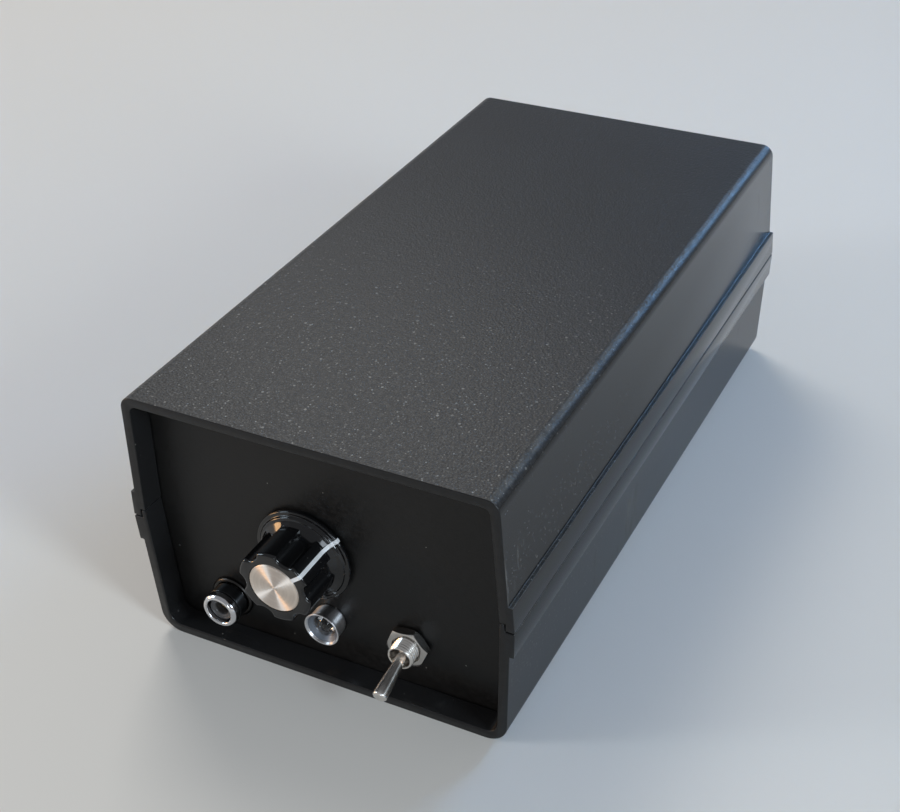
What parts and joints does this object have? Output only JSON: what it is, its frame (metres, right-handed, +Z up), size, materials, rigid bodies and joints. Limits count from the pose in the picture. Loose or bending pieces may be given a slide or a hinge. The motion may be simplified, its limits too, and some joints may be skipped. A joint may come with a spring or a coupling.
{
  "type": "antenna tuner",
  "caption": "Hand-sized radio antenna tuner in a black split case with recessed panels: fluted tuning knob, indicator lamp, phono socket and toggle switch in front, coaxial socket behind.",
  "frame": {"origin": "centre of the case's flat underside, on the surface that it rests on", "axes": "+Z up, the control panel faces -Y, +X to the right seen from the front"},
  "size_m": [0.0888, 0.1768, 0.062],
  "materials": {
    "case_plastic": "fine-grained black moulding, smooth and glossy on its sides",
    "panel_plastic": "satin black sheet",
    "knob_plastic": "polished black moulding",
    "spun_aluminium": "turned with fine concentric lines",
    "screw_steel": "plain zinc-plated screws and shaft",
    "chrome": "bright plating",
    "nickel": "slightly warm nickel plating",
    "brass": "plain machined brass",
    "plate_aluminium": "satin sheet",
    "ceramic": "unglazed insulating bar",
    "lamp_clear": "water-clear lens",
    "white_insulator": "white insulator",
    "board_green": "green solder mask",
    "core_red": "painted powdered iron",
    "enamelled_copper": "enamelled copper wire",
    "resistor_tan": "tan lacquer",
    "diode_glass": "amber glass bead",
    "lead_red": "red insulation",
    "lead_black": "black jacket"
  },
  "bodies": {
    "case": {"bottom_shell": "case_plastic", "top_shell": "case_plastic", "front_panel": "panel_plastic", "rear_panel": "panel_plastic", "case_screw_1": "screw_steel", "case_screw_2": "screw_steel", "case_screw_3": "screw_steel", "case_screw_4": "screw_steel", "shaft_bearing": "brass", "bearing_nut": "brass", "capacitor_frame": "plate_aluminium", "stator_plates": "brass", "front_insulator": "ceramic", "rear_insulator": "ceramic", "frame_screw_1": "screw_steel", "frame_screw_2": "screw_steel", "lamp_bezel": "chrome", "lamp_nut": "chrome", "indicator_lamp": "lamp_clear", "phono_ring": "chrome", "phono_collar": "knob_plastic", "phono_flange": "chrome", "phono_insulator": "knob_plastic", "phono_contact": "brass", "phono_nut": "chrome", "switch_bushing": "nickel", "switch_front_nut": "nickel", "switch_rear_nut": "nickel", "switch_housing": "knob_plastic", "switch_terminal_1": "brass", "switch_terminal_2": "brass", "switch_terminal_3": "brass", "coax_socket": "nickel", "coax_insulator": "white_insulator", "coax_contact": "brass", "coax_nut": "nickel", "ground_socket": "knob_plastic", "ground_sleeve": "nickel", "ground_nut": "nickel", "circuit_board": "board_green", "board_screw_1": "screw_steel", "board_screw_2": "screw_steel", "board_screw_3": "screw_steel", "board_screw_4": "screw_steel", "toroid_core": "core_red", "toroid_winding": "enamelled_copper", "bridge_resistor_1": "resistor_tan", "bridge_resistor_2": "resistor_tan", "bridge_resistor_3": "resistor_tan", "detector_diode": "diode_glass", "phono_lead": "lead_red", "coax_lead": "lead_black"},
    "tuning_shaft_assembly": {"tuning_knob": "knob_plastic", "knob_inlay": "spun_aluminium", "knob_set_screw": "screw_steel", "tuning_shaft": "screw_steel", "rotor_plates": "plate_aluminium"},
    "lever": {"switch_lever": "nickel"}
  },
  "joints": [
    {"name": "tuning_turn", "type": "hinge", "parent": "case", "child": "tuning_shaft_assembly", "pos_m": [-0.0056, -0.0756, 0.0296], "axis": [0, -1, 0], "range_deg": [-38, 142]},
    {"name": "switch_throw", "type": "hinge", "parent": "case", "child": "lever", "pos_m": [0.0178, -0.0776, 0.0134], "axis": [-1, 0, 0], "range_deg": [0, 28]}
  ]
}
